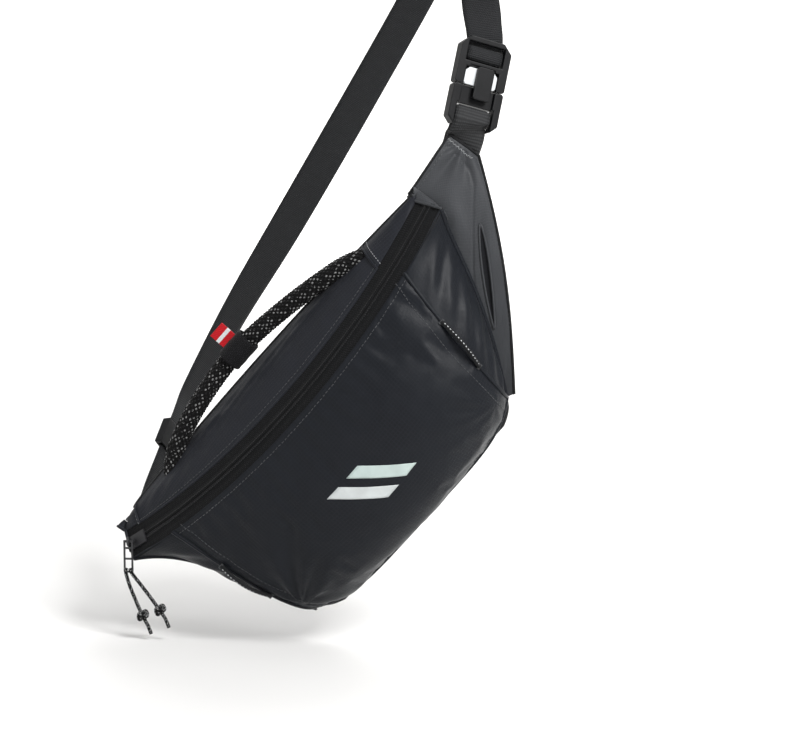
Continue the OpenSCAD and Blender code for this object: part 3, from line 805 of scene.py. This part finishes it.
A = np.linspace(-ZIP_LEFT, ZIP_RIGHT, 160)
rear_edge = top_cloth(A, 0.0) + arr(0, 1.4, 0.3)
settle(tube("back_edge_binding", turn(rear_edge), 2.0, BIND, 10), "bag")

# The cloth that closes each end, from the top corner round the zipper's end to the rear seam.
for side, name, seam_line, zip_end in ENDS:
    w = np.linspace(-HALF_W, HALF_W, 40)
    rim = np.vstack([top_cloth(np.full(30, zip_end), np.linspace(0.02, 0.97, 30)) + [0, 0, 0.9],
                     zp(np.full(40, zip_end - 0.004), w, 0.9)])
    rim = resample(rim, 0.7)
    k = np.linspace(0, 1, len(rim))
    root = rear(0.24 * k - 0.01, seam_line) + arr(4 + 3 * k, -2.2, 0.5 - 1.5 * k)
    v = np.linspace(0, 1, 16)[:, None]
    patch = rim[None] * (1 - v[..., None]) + root[None] * v[..., None]
    bulge = np.sin(np.pi * v) ** 0.8 * (0.6 + 2.2 * np.sin(np.pi * k))
    patch = patch + bulge[..., None] * unit([0.8, -0.35, 0.5])
    patch = flip(patch)[::-1] if side < 0 else patch
    cloth = WING if side > 0 else TOP
    cloth_piece("end_cover_" + name, turn(patch), cloth, 1.0, outer=0.0)
    # The left piping stops short of the puller, which hangs over the zipper's end.
    edge = (patch[-1][:-18] if side < 0 else patch[0]) + [0, -0.3, 0.3]
    roll("end_piping_" + name, turn(edge), 1.0, cloth)

# ---------------------------------------------------------------- zipper
for side, name in ((-1, "upper"), (1, "lower")):
    w = np.linspace(HALF_GAP, HALF_W + 0.3, 29)
    if side < 0:
        w = -w[::-1]
    A, W = np.meshgrid(np.linspace(-ZIP_LEFT, ZIP_RIGHT, 260), w, indexing="ij")
    near = np.abs(W)
    ridge = 0.75 * np.exp(-((near - 1.7) / 1.1) ** 2) - 0.25 * np.exp(-((near - 5) / 1.0) ** 2)
    tape = zp(A, W, 0.35 + ridge)
    cloth_piece("tape_" + name, turn(tape), TAPE, 0.7, replaces=("zipper_tape_" + name,))
    # The thread that holds the hidden coil shows as a row of short bars on each tape.
    line = zp(np.linspace(-ZIP_LEFT, ZIP_RIGHT, 400), side * 1.9, 1.12)
    off_tape = np.broadcast_to(ZN * math.cos(ZIP_TILT) + ZD * math.sin(ZIP_TILT), line.shape)
    stitches("coil_stitch_" + name, turn(line), turn(off_tape), COIL, 1.5, 1.0, 0.3, zigzag=0.5)

# ---------------------------------------------------------------- back panel
rows, columns = 60, 61
HIGH, LOW, BOTTOM_CORNER, PAD_Y = 62.5, -83.0, -73, -2.3
z_rows = np.linspace(HIGH, LOW, rows)


def pad_reach(seam_line):
    """How far the pad reaches towards one end, at each row."""
    line = rear(np.linspace(0, 1, 200), seam_line)
    far = np.interp(-z_rows, -line[:, 2], line[:, 0])
    below = np.clip(BOTTOM_CORNER - z_rows, 0, 12)
    far = np.where(z_rows < BOTTOM_CORNER, line[-1, 0] - (below / 10) ** 2 * 13, far) - 2.2
    return far - np.clip((z_rows - 52) / 10.5, 0, 1) ** 3 * 6


U = np.broadcast_to(np.linspace(-1, 1, columns), (rows, columns))
X = np.where(U > 0, pad_reach(RIGHT_SEAM)[:, None], pad_reach(LEFT_SEAM)[:, None]) * U
Z = np.broadcast_to(z_rows[:, None], (rows, columns))
near_edge = np.minimum.reduce([(1 - np.abs(U)) * 90, HIGH - Z, Z - LOW])
crown = np.clip(near_edge / 7, 0, 1) ** 0.5
channel = sum(np.exp(-((X - x0 + 0.12 * (Z * side)) / 2.4) ** 2) for x0, side in ((-48, -1), (48, 1)))
outer = arr(X, PAD_Y + crown * 2.2 - 1.3 * np.clip(channel, 0, 1) * crown, Z)
inner = arr(X, PAD_Y - crown * 1.6, Z)
verts = np.concatenate([outer.reshape(-1, 3), inner.reshape(-1, 3)])
offset = rows * columns
faces = [tuple(reversed(f)) for f in grid_faces(rows, columns)] + grid_faces(rows, columns, offset)
loop = ([(0, j) for j in range(columns)] + [(i, columns - 1) for i in range(1, rows)]
        + [(rows - 1, j) for j in range(columns - 2, -1, -1)] + [(i, 0) for i in range(rows - 2, 0, -1)])
index = [i * columns + j for i, j in loop]
for k, a in enumerate(index):
    b = index[(k + 1) % len(index)]
    faces.append((a, b, b + offset, a + offset))
uv = np.concatenate([arr(X, Z).reshape(-1, 2)] * 2) * MM
back = make("back_pad", turn(verts), faces, BACK, uv)
settle(back, "bag", ("back_panel",))
outline = arr(X, PAD_Y, Z)[tuple(np.array(loop).T)]
outline = np.vstack([outline, outline[:1]])
settle(tube("back_binding", turn(resample(outline, 3)), 2.1, BIND, 10, ends=False), "bag")

# ---------------------------------------------------------------- wings
SLIT_TOP, SLIT_LOW = 0.383, 0.75


def slit_u(t):
    """How far out from the rear seam the right wing's slit lies, at t down the wing."""
    return 0.645 - 1.09 * (t - SLIT_TOP)


def right_wing_details(cloth, cloth_out):
    """The tip's zigzag, two thread dots and the slit, on the right wing's grid."""

    def on_wing(u, t):
        return bilinear(cloth, u, t), unit(bilinear(cloth_out, u, t))

    tip, tip_out = on_wing(np.linspace(0.93, 0.9, 30), np.linspace(0.01, 0.17, 30))
    sewn("tip_zigzag", tip, tip_out, GREY_THREAD, 1.3, 1.7, 0.2, lift=0.25, zigzag=1.2)
    dots, _ = on_wing(np.array([0.04, 0.03]), np.array([0.545, 0.618]))
    sewn("wing_dots", dots, FORWARD, DARK, 11, 1.3, 0.5, lift=0.4)
    # The slit gapes like a lens: between two rolled edges a dark sheet is laid on the wing as painted shade
    # for the gap inside it.
    t = np.linspace(SLIT_TOP, SLIT_LOW, 60)
    lens = np.sin(np.linspace(0, 1, 60) * np.pi) ** 0.6
    rows = []
    for k in np.linspace(-1, 1, 9):
        p, q = on_wing(np.clip(slit_u(t) + k * 0.12 * lens, 0.0, 1), t)
        rows.append(p + q * (0.35 - 0.2 * abs(k)))
    # This dark sheet is painted shade for the inside of the slit.
    cloth_piece("slit_shade_sheet", turn(np.array(rows)), DARK, 0.3)
    for k, label in ((0, "inner"), (-1, "outer")):
        roll("slit_edge_" + label, turn(rows[k] + FORWARD * 0.4), 0.7, WING)


for side, name in SIDES:
    bend = (90.0, math.radians(30), RIGHT_SEAM) if side > 0 else (5.0, math.radians(95), LEFT_SEAM)
    U, V = np.meshgrid(np.linspace(0, 1, 81), np.linspace(0, 1, 121), indexing="ij")
    g = wing(U, V, *bend)
    g = g - arr(5.0, 0, 0) * ((1 - U[..., None]) ** 8)
    n = grid_out(g)
    d = np.linalg.norm(hem(V) - rear(V), axis=-1) * U
    slit = (np.exp(-((U - slit_u(V)) / 0.1) ** 2) * np.clip((V - 0.36) * 9, 0, 1)
            * np.clip((0.77 - V) * 9, 0, 1))
    seam_u = np.interp(V, [0, 0.255, 0.378, 0.492, 0.615], [0.86, 0.76, 0.455, 0.185, 0.0])
    seam = np.exp(-((U - seam_u) / 0.03) ** 2) * np.clip((0.6 - V) * 8, 0, 1) * np.clip(V * 12, 0, 1)
    dimple = 1.1 * np.exp(-((U - 0.28) / 0.13) ** 2 - ((V - 0.27) / 0.1) ** 2)
    crumple = (crease(g, (204, 62), 34, 1.6, 9, 0.3) + dimple
               + 0.8 * ripple(g[..., 0], g[..., 2], 12 + side, low=0.015, high=0.05))
    soft = np.clip(d / 6, 0, 1) * np.clip((1 - U) * 12, 0, 1) * np.clip(V * 12, 0, 1)
    height = soft * crumple - (1.5 * slit + 0.7 * seam) * (1 if side > 0 else 0)
    g = g + n * (height + 0.3)[..., None]
    cloth = flip(g)[::-1] if side < 0 else g
    cloth_piece("wing_cloth_" + name, turn(cloth), WING, WING_THICK,
                replaces=("wing_" + name,))
    hem_roll = turn(to_side(resample(np.vstack([g[2:, 0], g[-1, 1:]]), 2.0), side))
    roll("wing_hem_" + name, hem_roll, 0.95, BIND if side > 0 else WING)
    for label, where in (("top_stitch", (slice(4, None), 3)), ("hem_stitch", (-5, slice(2, None)))):
        line, out = to_side(g[where], side), to_side(n[where], side)
        sewn(f"wing_{label}_{name}", line, out, DARK_THREAD, 3, 2.0, 0.24)
    if side > 0:
        right_wing_details(g, n)

# ---------------------------------------------------------------- side loops
for side, name in SIDES:
    t = np.linspace(0.29, 0.6, 50)
    bow = 1.7 + 4 * np.sin(np.linspace(0, np.pi, 50))
    line = to_side(front(1.0, t) + bow[:, None] * unit([0.5, -0.85, 0]), side)
    outward = unit([0.5 * side, -0.85, 0])
    cord = tube("loop_cord_" + name, turn(line), 1.5, BIND, 10)
    settle(cord, "bag", ("side_loop_" + name,))
    sewn("loop_dots_" + name, line[3:-3], outward, PALE_THREAD, 2.6, 1.3, 0.35, lift=1.4)
    for end, label in ((0, "a"), (-1, "b")):
        tack = line[end] + arr(np.linspace(-1.8, 1.8, 10), 0, 0)
        sewn(f"loop_tack_{name}_{label}", tack, FORWARD, DARK_THREAD, 0.5, 2.0, 0.22, lift=0.9, zigzag=40.0)

# ---------------------------------------------------------------- the generic mark
for k, paint in enumerate((MARK, MARK_2)):
    i, j = np.meshgrid(np.linspace(0, 1, 9), np.linspace(0, 1, 13), indexing="ij")
    s_at = -0.2 + 0.17 * k + 0.1 * i + 0.25 * j
    t_at = 0.32 + 0.19 * j
    p = bilinear(front_grid, (s_at + 1) / 2, t_at)
    o = unit(bilinear(front_out, (s_at + 1) / 2, t_at))
    replaced = ("front_mark",) if k == 0 else ()
    cloth_piece(f"mark_bar_{k + 1}", p + o * 0.35, paint, 0.2, replaces=replaced)

# ---------------------------------------------------------------- rope handle
rope_points = [[-105, -6, 50], [-98, -7, 57], [-90, -8, 63.5], [-80, -8.5, 69], [-55, -8, 76.5],
               [-25, -8, 81], [0, -8, 82], [25, -8, 79.8], [55, -8, 75], [80, -9.5, 69.5], [90, -10, 66.8],
               [100, -9.5, 62.5], [107, -8, 57]]
rope_line = resample(smooth_line(rope_points, 8), 0.55)
LAY_PITCH = 2 * math.pi * ROPE_R / STRANDS
sides, lean = 96, 0.8
along = run_along(rope_line)
theta = np.arange(sides) / sides * 2 * np.pi
lay = 2 * np.pi * along[:, None] * lean / LAY_PITCH
a, b = theta[None] * STRANDS + lay, theta[None] * STRANDS - lay
weave = (0.5 + 0.5 * np.sin(a)) * (0.5 + 0.5 * np.sin(b))
_, side_a, side_b = frames(rope_line)
ring = np.cos(theta)[None, :, None] * side_a[:, None] + np.sin(theta)[None, :, None] * side_b[:, None]
radius = ROPE_R - 0.55 + 0.75 * weave + 0.12 * ripple(along[:, None] * 3, theta[None] * 20, 8)
grid = rope_line[:, None] + ring * radius[..., None]
grid = np.concatenate([grid, grid[:, :1]], 1)
uv = arr(np.arange(sides + 1)[None] / sides * 2 * np.pi * ROPE_R, along[:, None]) * MM
rope = make("rope", turn(grid).reshape(-1, 3), grid_faces(len(grid), sides + 1), ROPE, uv.reshape(-1, 2))
settle(rope, "handle", ("rope_handle",))

x = np.linspace(-10.5, 10.5, 43)
q = np.linspace(0, 2 * np.pi, 65)[:-1]
sleeve_r = ROPE_R + 1.5 + 0.25 * ripple(x[:, None] * 2, q[None] * 9, 5) - 0.5 * (np.abs(x)[:, None] > 9.6)
sag = 0.0011 * x[:, None] ** 2
sleeve = arr(x[:, None], -8 + sleeve_r * np.cos(q)[None], 82 - sag + sleeve_r * np.sin(q)[None])
sleeve = np.concatenate([sleeve, sleeve[:, :1]], 1)
uv = arr(x[:, None], np.append(q, 2 * np.pi)[None] * 8) * MM
faces = [tuple(reversed(f)) for f in grid_faces(*sleeve.shape[:2])]
piece = make("label_sleeve", turn(sleeve).reshape(-1, 3), faces, LABEL, uv.reshape(-1, 2))
solid = piece.modifiers.new("thickness", "SOLIDIFY")
solid.thickness, solid.offset = 0.8 * MM, -1
settle(piece, "handle", ("handle_label",))


def tab_sheet(half, low, high, rows):
    """Part of the red tab: its half width, and from low to high above its root on the sleeve."""
    u, v = np.meshgrid(np.linspace(-half, half, 25), np.linspace(low, high, rows), indexing="ij")
    return turn(arr(u, -8.1 + 0.25 * np.sin(v * 0.5 + u * 0.15), 89.6 + v))


cloth_piece("red_tab_cloth", tab_sheet(6, 0, 13, 27), RED, 1.2, body="handle",
            replaces=("handle_tab",), outer=0.0)
cloth_piece("tab_stripe", tab_sheet(6.05, 5.2, 7.8, 9), PALE_THREAD, 1.5, body="handle",
            outer=0.0)

# ---------------------------------------------------------------- webbing
BUCKLE_AT = np.array([97, 13, 229.5])
BUCKLE_TURN = np.array(Matrix.Rotation(math.radians(-10), 3, "X") @ Matrix.Rotation(math.radians(28), 3, "Z")
                       @ Matrix.Rotation(math.radians(11), 3, "Y"))


def bd(x, y, z):
    """A direction in the buckle's own frame, in the row frame."""
    return list(BUCKLE_TURN @ [x, y, z])


def bk(x, y, z):
    """A point in the buckle's own frame, in the row frame."""
    return list(BUCKLE_AT + bd(x, y, z))


FRONT_DIR, BACK_DIR = [0, -1, 0], [0, 1, 0]
wing_web = [[85.5, 15.2, 186], [88.3, 13.6, 193.5], [90.2, 11.6, 199.2], [91.9, 8.4, 203.8],
            bk(0, -2.6, -23), bk(0, -2.8, -19), bk(0, -2, -15.4), bk(0, 0.5, -14),
            bk(0, 2.9, -16), bk(0, 3.2, -20), bk(0, 3.2, -23),
            [89.8, 11.8, 203.1], [88, 14.6, 198.5], [86.5, 16.4, 192.5], [84, 17.6, 186]]
MID_OUT = np.array(bd(0, -1, 0))
wing_web_out = [[0.13, -0.95, 0.2], [0.15, -0.95, 0.2], [0.3, -0.9, 0.2], MID_OUT, MID_OUT, MID_OUT,
                bd(0, -0.8, 0.6), bd(0, 0, 1), bd(0, 0.9, 0.4), -MID_OUT, -MID_OUT, -MID_OUT,
                [-0.3, 0.9, -0.2], [-0.15, 0.95, -0.2], [-0.13, 0.95, -0.2]]
front_line = [[94.6, 33.15, 350], [95.32, 32.2, 334], [96.31, 30.9, 312], [97.3, 29.6, 290],
              [99.4, 28.3, 275], bk(0, 4.6, 34), bk(0, 4.6, 27), bk(0, 3.5, 20.5), bk(0, 0.6, 17.6),
              bk(0, -2.3, 19.2), bk(0, -2.9, 22.7), bk(0, -2, 25.8), bk(0, 0.8, 27.3), bk(0, 2.2, 29.8),
              bk(0, 2.2, 34),
              [99.4, 25.9, 275], [97.3, 27.4, 290], [96.31, 28.7, 312], [95.32, 30, 334], [94.33, 31.3, 356],
              [95, 37, 390], [98.5, 54, 431], [104, 86, 460], [109.9, 123.2, 467]]
front_line_out = [BACK_DIR, BACK_DIR, BACK_DIR, BACK_DIR, bd(0.25, 1, 0), bd(0, 1, 0), bd(0, 1, 0),
                  bd(0, 0.9, -0.4), bd(0, 0, -1), bd(0, -0.9, -0.4), bd(0, -1, 0), bd(0, -0.8, 0.6),
                  bd(0, -0.4, 0.9), bd(0, -0.9, 0.3), bd(0, -1, 0), bd(-0.25, -1, 0), FRONT_DIR, FRONT_DIR,
                  FRONT_DIR, FRONT_DIR, [0, -0.95, 0.3], [0, -0.75, 0.65], [0, -0.3, 0.95], [0, 0.25, 0.97]]
back_line = [[107, 165, 444], [84, 196, 386], [42, 216, 306], [-10, 225, 216]]
back_line_out = [[0.05, 0.75, 0.66], [0.1, 0.95, 0.3], [0.1, 0.99, 0.1], [0, 1, 0]]
left_flat = list(unit([-0.93, 0.35, -0.175]))
left_line = [[-62.5, 214.8, 124.1], [-101, 191, 56], [-126, 158, 2], [-131.5, 131.6, -21.3],
             [-137, 105.2, -44.6], [-142.5, 78.8, -67.9], [-135.6, 47.2, -75.2]]
left_line_out = [[-0.35, 0.93, 0], [-0.75, 0.66, 0]] + [left_flat] * 4 + [list(unit([-0.653, 0.17, -0.738]))]

line = smooth_line(wing_web, 6)
settle(band("wing_webbing", line, smooth_line(wing_web_out, 6), RIBBED), "bag",
       ("wing_webbing_right",))
line = smooth_line(front_line + back_line + left_line, 6)
strap = band("strap", line, smooth_line(front_line_out + back_line_out + left_line_out, 6), WEB)
settle(strap, "bag", ("strap_front", "strap_back", "strap_left"))

# ---------------------------------------------------------------- hard parts keep their CAD shape
HARD_PARTS = (("buckle_lower", PLASTIC, 0.9), ("buckle_upper", PLASTIC, 0.9), ("buckle_latch", PLASTIC, 0.6),
              ("buckle_insert", PALE, 0.4), ("strap_adjuster", PLASTIC, 0.7), ("zipper_slider", METAL, 0.35),
              ("zipper_puller", METAL, 0.3), ("zipper_stop_left", TAPE, 0.2),
              ("zipper_stop_right", TAPE, 0.2), ("zipper_coil_upper", COIL, 0.1),
              ("zipper_coil_lower", COIL, 0.1), ("strap_keeper", ELASTIC, 0.3))
for node, material, width in HARD_PARTS:
    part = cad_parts[node]
    for held_slot in part.material_slots:
        held_slot.material = material
    weld = part.modifiers.new("weld", "WELD")
    weld.merge_threshold = 0.00002
    bevel = part.modifiers.new("rounded", "BEVEL")
    bevel.width, bevel.segments, bevel.limit_method = width * MM, 3, "ANGLE"

# ---------------------------------------------------------------- floor and backdrop
FLOOR_FRONT, WALL_AT, BEND_R, WALL_TOP, HALF_FLOOR = -7.0, 6.0, 1.0, 6.0, 8.0
low = float(CAD_BOX[0][2]) - 0.004
turns = np.linspace(0.1, math.pi / 2, 12)
curve = [(WALL_AT + BEND_R * math.sin(q), BEND_R * (1 - math.cos(q))) for q in turns]
profile = [(FLOOR_FRONT, 0.0), (WALL_AT, 0.0)] + curve + [(WALL_AT + BEND_R, WALL_TOP)]
verts = [(x, y, z + low) for x in (-HALF_FLOOR, HALF_FLOOR) for y, z in profile]
count = len(profile)
mesh = bpy.data.meshes.new("studio_floor")
mesh.from_pydata(verts, [], [(i, count + i, count + i + 1, i + 1) for i in range(count - 1)])
mesh.polygons.foreach_set("use_smooth", [True] * (count - 1))
floor = bpy.data.objects.new("studio_floor", mesh)
bpy.context.collection.objects.link(floor)
paper = Paint("paper", (0.78, 0.775, 0.765), 0.9)
cloud = paper.noise(paper.place(uv=False), 3, 3)
paper.colour(paper.ramp(cloud, 0.3, 0.7, (0.76, 0.755, 0.745), (0.8, 0.795, 0.785)))
mesh.materials.append(paper.mat)
